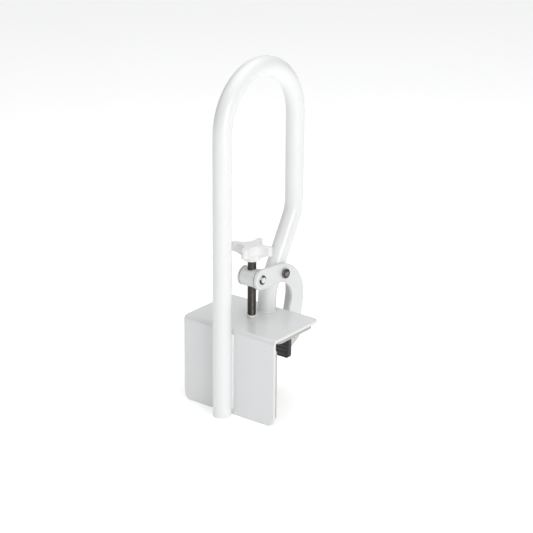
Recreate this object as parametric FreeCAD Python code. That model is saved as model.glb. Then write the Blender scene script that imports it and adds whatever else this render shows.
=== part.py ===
import FreeCAD, Part
import math
import os

# Clamp-on bathtub grab bar. Units are millimetres.
# X runs along the tub rim, Y runs across the wall from the room to the bath, Z is up.
# The origin lies in the loop's plane, at the corner of the bracket: Y = 0 is the front
# face of the front plate and Z = 0 is the top face of the top plate.

# Bracket: one folded steel plate
PLATE_WIDTH = 154.0
PLATE_DEPTH = 102.0
PLATE_DROP = 125.0
PLATE_THICK = 4.0
FOLD_RADIUS = 6.0
TOP_CORNER_RADIUS = 8.0
LOW_CORNER_RADIUS = 11.0
PLATE_EDGE_ROUND = 0.8

# Liners: soft pads bonded under the top plate and behind the front plate
LINER_THICK = 6.0
LINER_INSET = 1.5
FRONT_LINER_TOP = -14.0
FRONT_LINER_BOTTOM = -118.0
FRONT_LINER_CORNER = 8.0
RIM_LINER_FRONT = 13.0
RIM_LINER_BACK = 90.0
RIM_LINER_CORNER = 6.0

# Grab tube: one bent steel tube
TUBE_RADIUS = 12.7
TUBE_WALL = 1.6
LOOP_TOP = 359.0
FRONT_LEG_Y = -TUBE_RADIUS
REAR_LEG_Y = 145.4
REAR_FOOT_Y = 86.0
SLANT_DEG = 30.0
SLANT_TOP_Z = 132.0
BEND_RADIUS = 50.0
TUBE_END_Z = -121.2
PLUG_FLANGE = 3.0
PLUG_DEPTH = 16.0

# Welds
LEG_WELD_TOP = -6.5
LEG_WELD_BOTTOM = -117.0
FOOT_WELD_SIZE = 1.6
JAW_WELD_SIZE = 3.0

# Lever pivot: an M8 stud in a tapped bush that is welded into the slanted tube
PIVOT_Y = 100.6
PIVOT_Z = 53.2
STUD_RADIUS = 4.0
STUD_LEFT_X = -6.0
STUD_STANDS_OUT = 0.6
NUT_ACROSS = 12.0
NUT_HEIGHT = 5.0
NUT_CHAMFER = 0.9
BUSH_RADIUS = 7.0
BUSH_LEFT_X = -8.0
BUSH_RIGHT_X = 13.0
RUNNING_GAP = 0.05
SIDE_GAP = 0.1
WASHER_PLAY = 0.1

# Lever: a flat hooked plate beside the tube
LEVER_INNER_X = 14.0
LEVER_THICK = 4.0
LEVER_OUTER_X = LEVER_INNER_X + LEVER_THICK
EYE_Y = 51.5
EYE_Z = 57.6
EYE_RADIUS = 14.5
HOOK_Y = 89.0
HOOK_Z = 10.0
HOOK_RADIUS = 58.0
THROAT_Y = 91.7
THROAT_Z = 13.5
THROAT_RADIUS = 28.0
THROAT_END_DEG = -28.0
MOUTH_RADIUS = 20.0
TAIL_DEG = -12.0
TAIL_LENGTH = 46.0

# Jaw strap: a curved flat bar welded to the hook's outer edge
STRAP_THICK = 4.0
STRAP_LEFT_X = -11.0
STRAP_TOP_DEG = 36.0
STRAP_OVERRUN = 4.0
BOSS_RADIUS = 6.5
BOSS_LEFT_X = -18.0
TAIL_END_RADIUS = STRAP_THICK + BOSS_RADIUS
JAW_WELD_SPANS = ((22.0, 33.0), (5.0, 16.0), (-11.0, -1.0))

# Jaw pad: a folded carrier and a rubber block that tilt on a pin
PAD_FACE_Y = 100.0
RUBBER_THICK = 7.0
RUBBER_HALF_WIDTH = 27.0
RUBBER_HALF_HEIGHT = 27.0
CARRIER_THICK = 2.5
CARRIER_HALF_HEIGHT = 25.0
EAR_INNER_X = 18.5
EAR_RADIUS = 8.5
PIN_RADIUS = 3.0
PIN_HEAD_RADIUS = 6.0
PIN_HEAD = 2.4
PIN_TAIL = 3.4

# Trunnion: a barrel across the lever's eye, tapped for the screw
BARREL_RADIUS = 13.0
BARREL_LEFT_X = -12.8
BARREL_RIGHT_X = 12.9
FLANGE_RADIUS = 13.5
FLANGE_THICK = 1.7
COLLAR_RADIUS = 14.0
COLLAR_THICK = 2.3
NECK_RADIUS = 12.0
NECK_LENGTH = 0.5
BARREL_CHAMFER = 1.2
TRUNNION_PIN_RADIUS = 4.0
TRUNNION_PIN_END = 21.0
TRUNNION_WASHER_RADIUS = 10.5
CLIP_RADIUS = 6.3
CLIP_BORE = 3.0
CLIP_THICK = 0.9
CLIP_GAP = 0.3

# Clamp screw (M12), its foot and its knob
SCREW_RADIUS = 5.95
SCREW_BORE = 6.02
SCREW_TIP_RADIUS = 4.0
SCREW_SHOULDER_Z = 3.9
SCREW_TOP_Z = 98.0
FOOT_BOTTOM_Z = 0.3
FOOT_TOP_Z = 3.7
FOOT_RADIUS = 6.4
FOOT_FLOOR = 1.2
KNOB_TOP_Z = 105.0
KNOB_BODY_Z = 92.0
KNOB_BOSS_Z = 82.6
KNOB_RADIUS = 29.2
KNOB_TIP_RADIUS = 4.6
KNOB_VALLEY = 13.0
KNOB_LOBES = 4
KNOB_TURN_DEG = 14.0
KNOB_BOSS_RADIUS = 12.5
KNOB_BOSS_ROUND = 2.0
KNOB_RIB_WIDTH = 5.0
KNOB_RIB_REACH = 25.0
KNOB_RIB_DEPTH = 6.5
INSERT_RADIUS = 9.0
INSERT_LENGTH = 15.0

V = FreeCAD.Vector
X_AXIS = V(1, 0, 0)
Y_AXIS = V(0, 1, 0)
Z_AXIS = V(0, 0, 1)


# ---------------------------------------------------------------- helpers
def polar(cy, cz, radius, deg):
    """A point (y, z) on a circle in the YZ plane, measured from +Y towards +Z."""
    a = math.radians(deg)
    return (cy + radius * math.cos(a), cz + radius * math.sin(a))


def yz(point, x=0.0):
    """A YZ point as a vector at the given X."""
    return V(x, point[0], point[1])


def rod_x(x0, x1, y, z, radius):
    """A round bar parallel to X."""
    return Part.makeCylinder(radius, x1 - x0, V(x0, y, z), X_AXIS)


def rod_z(z0, z1, x, y, radius):
    """A round bar parallel to Z."""
    return Part.makeCylinder(radius, z1 - z0, V(x, y, z0), Z_AXIS)


def ring_x(x0, x1, y, z, outer, inner):
    """A washer or sleeve parallel to X."""
    return rod_x(x0, x1, y, z, outer).cut(rod_x(x0, x1, y, z, inner))


def hex_x(x0, x1, y, z, across):
    """A hexagonal bar parallel to X, with one flat pair level."""
    corner = across / math.sqrt(3.0)
    ring = [yz(polar(y, z, corner, 60.0 * i), x0) for i in range(7)]
    return Part.Face(Part.makePolygon(ring)).extrude(V(x1 - x0, 0, 0))


def extrude_edges(edges, direction):
    """A solid from a closed list of edges."""
    return Part.Face(Part.Wire(edges)).extrude(direction)


def arc3(a, b, c):
    return Part.Arc(a, b, c).toShape()


def arc_yz(cy, cz, radius, deg0, deg1, x):
    """An arc in the plane X = x, from deg0 to deg1."""
    mid = (deg0 + deg1) / 2.0
    return arc3(*[yz(polar(cy, cz, radius, d), x) for d in (deg0, mid, deg1)])


def line(a, b):
    return Part.LineSegment(a, b).toShape()


def rounded_slab(size, low, radius, axis):
    """A box with rounded corners, whose four long edges parallel to axis are filleted."""
    box = Part.makeBox(size[0], size[1], size[2], V(*low))
    edges = [e for e in box.Edges if abs(e.tangentAt(e.FirstParameter).dot(axis)) > 0.99]
    return box.makeFillet(radius, edges)


def normal_deg(c0, c1, rise, side):
    """Angle of the unit normal n, in degrees, for which n . (c1 - c0) equals rise."""
    dy, dz = c1[0] - c0[0], c1[1] - c0[1]
    base = math.degrees(math.atan2(dz, dy))
    return base + side * math.degrees(math.acos(rise / math.hypot(dy, dz)))


def tail_line():
    """Start of the hook's straight outer tail, its direction, and its outward normal."""
    a = math.radians(TAIL_DEG)
    start = polar(HOOK_Y, HOOK_Z, HOOK_RADIUS, TAIL_DEG)
    return start, (math.sin(a), -math.cos(a)), (math.cos(a), math.sin(a))


def tail_point(along, inward):
    """A YZ point measured along the straight tail and inward from its outer edge."""
    start, way, out = tail_line()
    y = start[0] + along * way[0] - inward * out[0]
    z = start[1] + along * way[1] - inward * out[1]
    return (y, z)


HINGE_Y, HINGE_Z = tail_point(TAIL_LENGTH, TAIL_END_RADIUS)


# ---------------------------------------------------------------- fixed frame
def bracket_plate():
    """The folded plate: front plate, bend and top plate in one piece."""
    half = PLATE_WIDTH / 2.0
    r_out = FOLD_RADIUS
    r_in = FOLD_RADIUS - PLATE_THICK
    t = PLATE_THICK
    edges = [
        line(V(-half, 0, -PLATE_DROP), V(-half, 0, -r_out)),
        arc_yz(r_out, -r_out, r_out, 180.0, 90.0, -half),
        line(V(-half, r_out, 0), V(-half, PLATE_DEPTH, 0)),
        line(V(-half, PLATE_DEPTH, 0), V(-half, PLATE_DEPTH, -t)),
        line(V(-half, PLATE_DEPTH, -t), V(-half, r_out, -t)),
        arc_yz(r_out, -r_out, r_in, 90.0, 180.0, -half),
        line(V(-half, t, -r_out), V(-half, t, -PLATE_DROP)),
        line(V(-half, t, -PLATE_DROP), V(-half, 0, -PLATE_DROP)),
    ]
    plate = extrude_edges(edges, V(PLATE_WIDTH, 0, 0))
    low = [e for e in plate.Edges if corner_edge(e, Y_AXIS, -PLATE_DROP, None)]
    plate = plate.makeFillet(LOW_CORNER_RADIUS, low)
    top = [e for e in plate.Edges if corner_edge(e, Z_AXIS, None, PLATE_DEPTH)]
    plate = plate.makeFillet(TOP_CORNER_RADIUS, top)
    return round_front_edges(plate)


def corner_edge(edge, axis, z, y):
    """True for a short straight corner edge along axis at the given height or depth."""
    if edge.Length > PLATE_THICK + 0.01 or edge.Curve.TypeId != "Part::GeomLine":
        return False
    if abs(edge.tangentAt(edge.FirstParameter).dot(axis)) < 0.99:
        return False
    mid = edge.valueAt((edge.FirstParameter + edge.LastParameter) / 2.0)
    if z is not None and abs(mid.z - z) > 0.01:
        return False
    if y is not None and abs(mid.y - y) > 0.01:
        return False
    return True


def round_front_edges(plate):
    """Softens the outer rim of the plate's room-side face, as the powder coat does."""
    rim = []
    for edge in plate.Edges:
        box = edge.BoundBox
        on_front = box.YMax < 0.01
        on_top = box.ZMin > -0.01
        if (on_front or on_top) and outline_edge(edge):
            rim.append(edge)
    return plate.makeFillet(PLATE_EDGE_ROUND, rim)


def outline_edge(edge):
    """True for an edge of the plate's outline, false for the two seams beside the fold."""
    box = edge.BoundBox
    seam_front = abs(box.ZMin + FOLD_RADIUS) < 0.01 and box.ZLength < 0.01
    seam_top = abs(box.YMax - FOLD_RADIUS) < 0.01 and box.YLength < 0.01
    return not (seam_front or seam_top)


def tube_path():
    """Centre line: front leg up, half circle, rear leg, slant, foot."""
    loop_radius = (REAR_LEG_Y - FRONT_LEG_Y) / 2.0
    mid_y = (REAR_LEG_Y + FRONT_LEG_Y) / 2.0
    spring_z = LOOP_TOP - TUBE_RADIUS - loop_radius
    tangent = BEND_RADIUS * math.tan(math.radians(SLANT_DEG / 2.0))
    slant_low_z = SLANT_TOP_Z - (REAR_LEG_Y - REAR_FOOT_Y) / math.tan(math.radians(SLANT_DEG))
    upper = (REAR_LEG_Y - BEND_RADIUS, SLANT_TOP_Z + tangent)
    lower = (REAR_FOOT_Y + BEND_RADIUS, slant_low_z - tangent)
    edges = [
        line(V(0, FRONT_LEG_Y, TUBE_END_Z), V(0, FRONT_LEG_Y, spring_z)),
        arc_yz(mid_y, spring_z, loop_radius, 180.0, 0.0, 0.0),
        line(V(0, REAR_LEG_Y, spring_z), V(0, REAR_LEG_Y, upper[1])),
        arc_yz(upper[0], upper[1], BEND_RADIUS, 0.0, -SLANT_DEG, 0.0),
        line(yz(polar(*upper, BEND_RADIUS, -SLANT_DEG)),
             yz(polar(*lower, BEND_RADIUS, 180.0 - SLANT_DEG))),
        arc_yz(lower[0], lower[1], BEND_RADIUS, 180.0 - SLANT_DEG, 180.0, 0.0),
        line(V(0, REAR_FOOT_Y, lower[1]), V(0, REAR_FOOT_Y, 0)),
    ]
    return Part.Wire(edges)


def pipe(radius):
    """A solid round bar along the tube's centre line."""
    start = V(0, FRONT_LEG_Y, TUBE_END_Z)
    section = Part.Wire(Part.makeCircle(radius, start, Z_AXIS))
    return tube_path().makePipeShell([section], True, True)


def grab_tube():
    """The bent tube, with a hole in its near wall that takes the pivot bush."""
    tube = pipe(TUBE_RADIUS).cut(pipe(TUBE_RADIUS - TUBE_WALL))
    return tube.cut(rod_x(0, 2 * TUBE_RADIUS, PIVOT_Y, PIVOT_Z, BUSH_RADIUS))


def leg_end_plug():
    """Ribbed plastic plug that closes the front leg's lower end."""
    low = TUBE_END_Z - PLUG_FLANGE
    flange = rod_z(low, TUBE_END_Z, 0, FRONT_LEG_Y, TUBE_RADIUS)
    rim = [e for e in flange.Edges if abs(e.BoundBox.ZMax - low) < 0.01 and e.Closed]
    flange = flange.makeFillet(2.0, rim)
    bore = TUBE_RADIUS - TUBE_WALL
    core = rod_z(TUBE_END_Z, TUBE_END_Z + PLUG_DEPTH, 0, FRONT_LEG_Y, bore - 0.6)
    plug = flange.fuse(core)
    for i in range(3):
        z = TUBE_END_Z + 3.0 + 4.5 * i
        plug = plug.fuse(Part.makeCone(bore - 0.2, bore - 0.6, 1.6, V(0, FRONT_LEG_Y, z), Z_AXIS))
    hollow = rod_z(low + 2.4, TUBE_END_Z + PLUG_DEPTH, 0, FRONT_LEG_Y, bore - 2.6)
    return plug.cut(hollow)


def front_leg_welds():
    """Two long fillet beads between the front leg and the front plate."""
    leg = rod_z(TUBE_END_Z, 0, 0, FRONT_LEG_Y, TUBE_RADIUS)
    beads = []
    for side in (-1, 1):
        a = V(side * 2.2, 0, LEG_WELD_BOTTOM)
        b = V(side * 9.4, 0, LEG_WELD_BOTTOM)
        c = V(side * 9.6, -0.9, LEG_WELD_BOTTOM)
        d = V(side * 8.0, -2.6, LEG_WELD_BOTTOM)
        e = V(side * 5.4, -3.4, LEG_WELD_BOTTOM)
        profile = [line(a, b), line(b, c), line(c, d), line(d, e), line(e, a)]
        bead = extrude_edges(profile, V(0, 0, LEG_WELD_TOP - LEG_WELD_BOTTOM))
        beads.append(bead.cut(leg))
    return Part.makeCompound([s for b in beads for s in b.Solids])


def rear_leg_weld():
    """Ring fillet where the rear leg stands on the top plate."""
    r = TUBE_RADIUS
    s = FOOT_WELD_SIZE
    a, b, c = V(r, 0, 0), V(r + s, 0, 0), V(r, 0, s)
    mid = V(r + 0.42 * s, 0, 0.42 * s)
    face = Part.Face(Part.Wire([line(a, b), arc3(b, mid, c), line(c, a)]))
    ring = face.revolve(V(0, 0, 0), Z_AXIS, 360)
    ring.translate(V(0, REAR_FOOT_Y, 0))
    return ring


def outer_wall_liner():
    """Soft sheet behind the front plate, against the tub's outside wall."""
    half = PLATE_WIDTH / 2.0 - LINER_INSET
    size = (2 * half, LINER_THICK, FRONT_LINER_TOP - FRONT_LINER_BOTTOM)
    low = (-half, PLATE_THICK, FRONT_LINER_BOTTOM)
    return rounded_slab(size, low, FRONT_LINER_CORNER, Y_AXIS)


def rim_liner():
    """Soft sheet under the top plate, on the tub's rim."""
    half = PLATE_WIDTH / 2.0 - LINER_INSET
    size = (2 * half, RIM_LINER_BACK - RIM_LINER_FRONT, LINER_THICK)
    low = (-half, RIM_LINER_FRONT, -PLATE_THICK - LINER_THICK)
    return rounded_slab(size, low, RIM_LINER_CORNER, Z_AXIS)


# ---------------------------------------------------------------- pivot hardware
def pivot_bush():
    """Steel bush set into the slanted tube; the pivot stud is fixed in it."""
    return ring_x(BUSH_LEFT_X, BUSH_RIGHT_X, PIVOT_Y, PIVOT_Z, BUSH_RADIUS, STUD_RADIUS)


def pivot_stud():
    """Plain stud with chamfered ends, fixed in the bush; the lever turns on it."""
    x1 = LEVER_OUTER_X + SIDE_GAP + NUT_HEIGHT + STUD_STANDS_OUT
    stud = rod_x(STUD_LEFT_X, x1, PIVOT_Y, PIVOT_Z, STUD_RADIUS)
    return stud.makeChamfer(0.7, [e for e in stud.Edges if e.Closed])


def pivot_nut():
    """Hex nut that keeps the lever on its stud, with both faces chamfered to a circle."""
    x0 = LEVER_OUTER_X + SIDE_GAP
    x1 = x0 + NUT_HEIGHT
    corner = NUT_ACROSS / math.sqrt(3.0)
    low, high = corner - NUT_CHAMFER, corner + 2.0
    rise = (high - low) * 0.55
    nut = hex_x(x0, x1, PIVOT_Y, PIVOT_Z, NUT_ACROSS)
    envelope = rod_x(x0 + rise, x1 - rise, PIVOT_Y, PIVOT_Z, high)
    envelope = envelope.fuse(Part.makeCone(high, low, rise, V(x1 - rise, PIVOT_Y, PIVOT_Z), X_AXIS))
    envelope = envelope.fuse(Part.makeCone(low, high, rise, V(x0, PIVOT_Y, PIVOT_Z), X_AXIS))
    nut = nut.common(envelope)
    return nut.cut(rod_x(x0 - 1, x1 + 1, PIVOT_Y, PIVOT_Z, STUD_RADIUS)).removeSplitter()


def lever_spacer():
    """Nylon washer between the bush's end and the lever."""
    x1 = LEVER_INNER_X - SIDE_GAP
    return ring_x(BUSH_RIGHT_X, x1, PIVOT_Y, PIVOT_Z, 9.0, STUD_RADIUS + WASHER_PLAY)


# ---------------------------------------------------------------- lever and jaw
def lever_outline():
    """Edges of the hooked lever plate: eye, arm, hook, tail and rounded tail end."""
    x = LEVER_INNER_X
    eye = (EYE_Y, EYE_Z)
    hook = (HOOK_Y, HOOK_Z)
    throat = (THROAT_Y, THROAT_Z)
    hinge = (HINGE_Y, HINGE_Z)
    mouth = polar(*throat, THROAT_RADIUS + MOUTH_RADIUS, THROAT_END_DEG)
    top = normal_deg(eye, hook, EYE_RADIUS - HOOK_RADIUS, 1)
    under = normal_deg(eye, throat, -EYE_RADIUS - THROAT_RADIUS, 1)
    inner = normal_deg(mouth, hinge, MOUTH_RADIUS - TAIL_END_RADIUS, -1)
    eye_top = yz(polar(*eye, EYE_RADIUS, top), x)
    hook_top = yz(polar(*hook, HOOK_RADIUS, top), x)
    hook_low = yz(polar(*hook, HOOK_RADIUS, TAIL_DEG), x)
    tail_outer = yz(tail_point(TAIL_LENGTH, 0.0), x)
    mouth_low = yz(polar(*mouth, MOUTH_RADIUS, inner), x)
    throat_roof = yz(polar(*throat, THROAT_RADIUS, under), x)
    eye_low = yz(polar(*eye, EYE_RADIUS, under - 180.0), x)
    return [
        arc_yz(*eye, EYE_RADIUS, under - 180.0, top - 360.0, x),
        line(eye_top, hook_top),
        arc_yz(*hook, HOOK_RADIUS, top, TAIL_DEG, x),
        line(hook_low, tail_outer),
        arc_yz(*hinge, TAIL_END_RADIUS, TAIL_DEG, inner, x),
        line(yz(polar(*hinge, TAIL_END_RADIUS, inner), x), mouth_low),
        arc_yz(*mouth, MOUTH_RADIUS, inner, THROAT_END_DEG - 180.0, x),
        arc_yz(*throat, THROAT_RADIUS, THROAT_END_DEG, under, x),
        line(throat_roof, eye_low),
    ]


def lever_plate():
    """The clamp's side plate: it turns on the pivot stud and carries barrel and jaw."""
    plate = extrude_edges(lever_outline(), V(LEVER_THICK, 0, 0))
    rim = [e for e in plate.Edges if e.BoundBox.XMin > LEVER_OUTER_X - 0.01]
    plate = plate.makeFillet(PLATE_EDGE_ROUND, rim)
    x0, x1 = LEVER_INNER_X - 1.0, LEVER_OUTER_X + 1.0
    for y, z, radius in (
        (PIVOT_Y, PIVOT_Z, STUD_RADIUS),
        (EYE_Y, EYE_Z, TRUNNION_PIN_RADIUS),
        (HINGE_Y, HINGE_Z, PIN_RADIUS),
    ):
        plate = plate.cut(rod_x(x0, x1, y, z, radius + RUNNING_GAP))
    return plate


def jaw_strap():
    """Flat bar bent to the hook's outer edge, behind the tub's inner wall."""
    x = STRAP_LEFT_X
    inner = HOOK_RADIUS - STRAP_THICK
    end = TAIL_LENGTH + STRAP_OVERRUN
    outer_top = yz(polar(HOOK_Y, HOOK_Z, HOOK_RADIUS, STRAP_TOP_DEG), x)
    inner_top = yz(polar(HOOK_Y, HOOK_Z, inner, STRAP_TOP_DEG), x)
    edges = [
        arc_yz(HOOK_Y, HOOK_Z, HOOK_RADIUS, STRAP_TOP_DEG, TAIL_DEG, x),
        line(yz(tail_point(0, 0), x), yz(tail_point(end, 0), x)),
        line(yz(tail_point(end, 0), x), yz(tail_point(end, STRAP_THICK), x)),
        line(yz(tail_point(end, STRAP_THICK), x), yz(tail_point(0, STRAP_THICK), x)),
        arc_yz(HOOK_Y, HOOK_Z, inner, TAIL_DEG, STRAP_TOP_DEG, x),
        line(inner_top, outer_top),
    ]
    return extrude_edges(edges, V(LEVER_INNER_X - x, 0, 0))


def jaw_boss():
    """Tube welded to the strap's lower end; the pad's pin turns in it."""
    bore = PIN_RADIUS + RUNNING_GAP
    return ring_x(BOSS_LEFT_X, LEVER_INNER_X, HINGE_Y, HINGE_Z, BOSS_RADIUS, bore)


def jaw_welds():
    """Stitch fillets in the corner between the lever plate and the strap."""
    x = LEVER_INNER_X
    r = HOOK_RADIUS - STRAP_THICK
    s = JAW_WELD_SIZE
    centre = V(0, HOOK_Y, HOOK_Z)
    beads = []
    for low, high in JAW_WELD_SPANS:
        a = yz(polar(HOOK_Y, HOOK_Z, r, low), x)
        b = yz(polar(HOOK_Y, HOOK_Z, r, low), x - s)
        c = yz(polar(HOOK_Y, HOOK_Z, r - s, low), x)
        face = Part.Face(Part.Wire([line(a, b), line(b, c), line(c, a)]))
        beads.append(face.revolve(centre, X_AXIS, high - low))
    return Part.makeCompound(beads)


# ---------------------------------------------------------------- jaw pad
def pad_carrier():
    """Folded channel behind the rubber, with two ears that take the pin."""
    front = PAD_FACE_Y + RUBBER_THICK
    back = front + CARRIER_THICK
    outer_x = EAR_INNER_X + CARRIER_THICK
    h = CARRIER_HALF_HEIGHT
    web = rounded_slab((2 * outer_x, CARRIER_THICK, 2 * h), (-outer_x, front, HINGE_Z - h), 3.0, Y_AXIS)
    bore = PIN_RADIUS + 0.02
    for side in (-1, 1):
        x0 = EAR_INNER_X if side > 0 else -outer_x
        corners = [V(x0, back, HINGE_Z - 18.0), V(x0, back, HINGE_Z + 18.0)]
        up = normal_deg((back, HINGE_Z + 18.0), (HINGE_Y, HINGE_Z), -EAR_RADIUS, 1)
        down = -up
        top = yz(polar(HINGE_Y, HINGE_Z, EAR_RADIUS, up), x0)
        low = yz(polar(HINGE_Y, HINGE_Z, EAR_RADIUS, down), x0)
        edges = [
            line(corners[0], corners[1]),
            line(corners[1], top),
            arc_yz(HINGE_Y, HINGE_Z, EAR_RADIUS, up, down, x0),
            line(low, corners[0]),
        ]
        web = web.fuse(extrude_edges(edges, V(CARRIER_THICK, 0, 0)))
    web = web.removeSplitter()
    return web.cut(rod_x(-outer_x - 1, outer_x + 1, HINGE_Y, HINGE_Z, bore))


def pad_rubber():
    """Rubber block bonded to the carrier; its free face presses on the tub wall."""
    w, h = RUBBER_HALF_WIDTH, RUBBER_HALF_HEIGHT
    size = (2 * w, RUBBER_THICK, 2 * h)
    block = rounded_slab(size, (-w, PAD_FACE_Y, HINGE_Z - h), 5.0, Y_AXIS)
    rim = [e for e in block.Edges if e.BoundBox.YMax < PAD_FACE_Y + 0.01]
    return block.makeFillet(1.5, rim)


def pad_pin():
    """Headed pin through the carrier's ears, the boss and the lever."""
    outer = EAR_INNER_X + CARRIER_THICK
    end = outer + PIN_TAIL
    pin = rod_x(-end, outer, HINGE_Y, HINGE_Z, PIN_RADIUS)
    head = rod_x(outer, outer + PIN_HEAD, HINGE_Y, HINGE_Z, PIN_HEAD_RADIUS)
    rim = [e for e in head.Edges if e.Closed and e.BoundBox.XMin > outer + PIN_HEAD - 0.01]
    pin = pin.fuse(head.makeFillet(1.2, rim)).removeSplitter()
    x0 = -outer - CLIP_GAP - CLIP_THICK - 0.05
    groove = ring_x(x0, x0 + CLIP_THICK + 0.1, HINGE_Y, HINGE_Z, PIN_RADIUS + 1, PIN_RADIUS - 0.6)
    return pin.cut(groove)


def pad_pin_clip():
    """Spring clip in the pad pin's groove."""
    x0 = -EAR_INNER_X - CARRIER_THICK - CLIP_GAP - CLIP_THICK
    return spring_clip(x0, HINGE_Y, HINGE_Z, 5.0, PIN_RADIUS - 0.6, 120.0)


def spring_clip(x0, y, z, outer, bore, open_deg):
    """An E-shaped spring clip, open towards open_deg, that grips a groove at three points."""
    clip = ring_x(x0, x0 + CLIP_THICK, y, z, outer, bore)
    mouth = Part.makeBox(CLIP_THICK + 2, outer + 1, 1.7 * bore, V(x0 - 1, 0, -0.85 * bore))
    mouth.rotate(V(0, 0, 0), X_AXIS, open_deg)
    mouth.translate(V(0, y, z))
    clip = clip.cut(mouth)
    for turn in (-115.0, 115.0):
        cy, cz = polar(y, z, bore, open_deg + turn)
        clip = clip.cut(rod_x(x0 - 1, x0 + CLIP_THICK + 1, cy, cz, (outer - bore) * 0.5))
    return clip


# ---------------------------------------------------------------- trunnion
def trunnion_barrel():
    """Barrel nut with two end flanges, a cross hole for the screw, and a pin for the lever's eye."""
    barrel = rod_x(BARREL_LEFT_X, BARREL_RIGHT_X, EYE_Y, EYE_Z, BARREL_RADIUS)
    barrel = barrel.makeChamfer(BARREL_CHAMFER, [e for e in barrel.Edges if e.Closed])
    neck_x = BARREL_LEFT_X - NECK_LENGTH
    barrel = barrel.fuse(rod_x(neck_x, BARREL_LEFT_X, EYE_Y, EYE_Z, NECK_RADIUS))
    flange = rod_x(neck_x - FLANGE_THICK, neck_x, EYE_Y, EYE_Z, FLANGE_RADIUS)
    barrel = barrel.fuse(flange.makeFillet(0.8, [e for e in flange.Edges if e.Closed]))
    collar = rod_x(BARREL_RIGHT_X - COLLAR_THICK, BARREL_RIGHT_X, EYE_Y, EYE_Z, COLLAR_RADIUS)
    barrel = barrel.fuse(collar.makeFillet(0.7, [e for e in collar.Edges if e.Closed]))
    pin = rod_x(BARREL_RIGHT_X, TRUNNION_PIN_END, EYE_Y, EYE_Z, TRUNNION_PIN_RADIUS)
    tip = [e for e in pin.Edges if e.Closed and e.BoundBox.XMin > TRUNNION_PIN_END - 0.01]
    barrel = barrel.fuse(pin.makeFillet(0.8, tip)).removeSplitter()
    x0 = LEVER_OUTER_X + CLIP_GAP
    groove_radius = TRUNNION_PIN_RADIUS + 1
    groove = ring_x(x0 - 0.05, x0 + CLIP_THICK + 0.05, EYE_Y, EYE_Z, groove_radius, CLIP_BORE)
    bore = rod_z(EYE_Z - 20, EYE_Z + 20, 0, EYE_Y, SCREW_BORE)
    return barrel.cut(groove).cut(bore)


def trunnion_washer():
    """Nylon washer between the barrel and the lever's eye."""
    x0, x1 = BARREL_RIGHT_X, LEVER_INNER_X - SIDE_GAP
    return ring_x(x0, x1, EYE_Y, EYE_Z, TRUNNION_WASHER_RADIUS, TRUNNION_PIN_RADIUS + WASHER_PLAY)


def retaining_clip():
    """Spring clip that keeps the barrel's pin in the lever's eye."""
    x0 = LEVER_OUTER_X + CLIP_GAP
    return spring_clip(x0, EYE_Y, EYE_Z, CLIP_RADIUS, CLIP_BORE, 135.0)


# ---------------------------------------------------------------- screw and knob
def clamp_screw():
    """M12 rod with a chamfered lower end and a turned tip that sits in the foot."""
    rod = rod_z(SCREW_SHOULDER_Z, SCREW_TOP_Z, 0, EYE_Y, SCREW_RADIUS)
    rod = rod.makeChamfer(0.9, [e for e in rod.Edges if e.Closed])
    tip = rod_z(FOOT_BOTTOM_Z + FOOT_FLOOR + 0.1, SCREW_SHOULDER_Z, 0, EYE_Y, SCREW_TIP_RADIUS)
    return rod.fuse(tip).removeSplitter()


def thrust_foot():
    """Nylon cup on the screw's tip; it presses on the bracket's top plate."""
    cup = rod_z(FOOT_BOTTOM_Z, FOOT_TOP_Z, 0, EYE_Y, FOOT_RADIUS)
    cup = cup.makeFillet(0.8, [e for e in cup.Edges if e.Closed])
    socket_z = FOOT_BOTTOM_Z + FOOT_FLOOR
    return cup.cut(rod_z(socket_z, FOOT_TOP_Z + 1, 0, EYE_Y, SCREW_TIP_RADIUS + RUNNING_GAP))


def knob_outline(z):
    """Closed star outline: round lobe tips joined by wide hollow flanks."""
    step = 360.0 / KNOB_LOBES
    reach = KNOB_RADIUS - KNOB_TIP_RADIUS
    k = math.cos(math.radians(step / 2.0))
    # the flank circle touches both neighbouring tips and passes at KNOB_VALLEY from the axis
    top = reach ** 2 + KNOB_VALLEY ** 2 - 2 * reach * k * KNOB_VALLEY - KNOB_TIP_RADIUS ** 2
    flank = top / (2 * KNOB_TIP_RADIUS - 2 * KNOB_VALLEY + 2 * reach * k)
    far = KNOB_VALLEY + flank
    edges = []
    for i in range(KNOB_LOBES):
        lobe = KNOB_TURN_DEG + step * i
        tip = star_point(0, 0, reach, lobe, z)
        valley = star_point(0, 0, far, lobe + step / 2.0, z)
        lean = math.degrees(math.atan2(valley.y - tip.y, valley.x - tip.x))
        turn = (lean - lobe + 180.0) % 360.0 - 180.0
        start = star_point(tip.x, tip.y, KNOB_TIP_RADIUS, lobe - turn, z)
        crown = star_point(tip.x, tip.y, KNOB_TIP_RADIUS, lobe, z)
        end = star_point(tip.x, tip.y, KNOB_TIP_RADIUS, lobe + turn, z)
        low = star_point(0, 0, KNOB_VALLEY, lobe + step / 2.0, z)
        tip_next = star_point(0, 0, reach, lobe + step, z)
        start_next = star_point(tip_next.x, tip_next.y, KNOB_TIP_RADIUS, lobe + step - turn, z)
        edges += [arc3(start, crown, end), arc3(end, low, start_next)]
    return edges


def star_point(x, y, radius, deg, z):
    a = math.radians(deg)
    return V(x + radius * math.cos(a), y + radius * math.sin(a), z)


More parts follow.
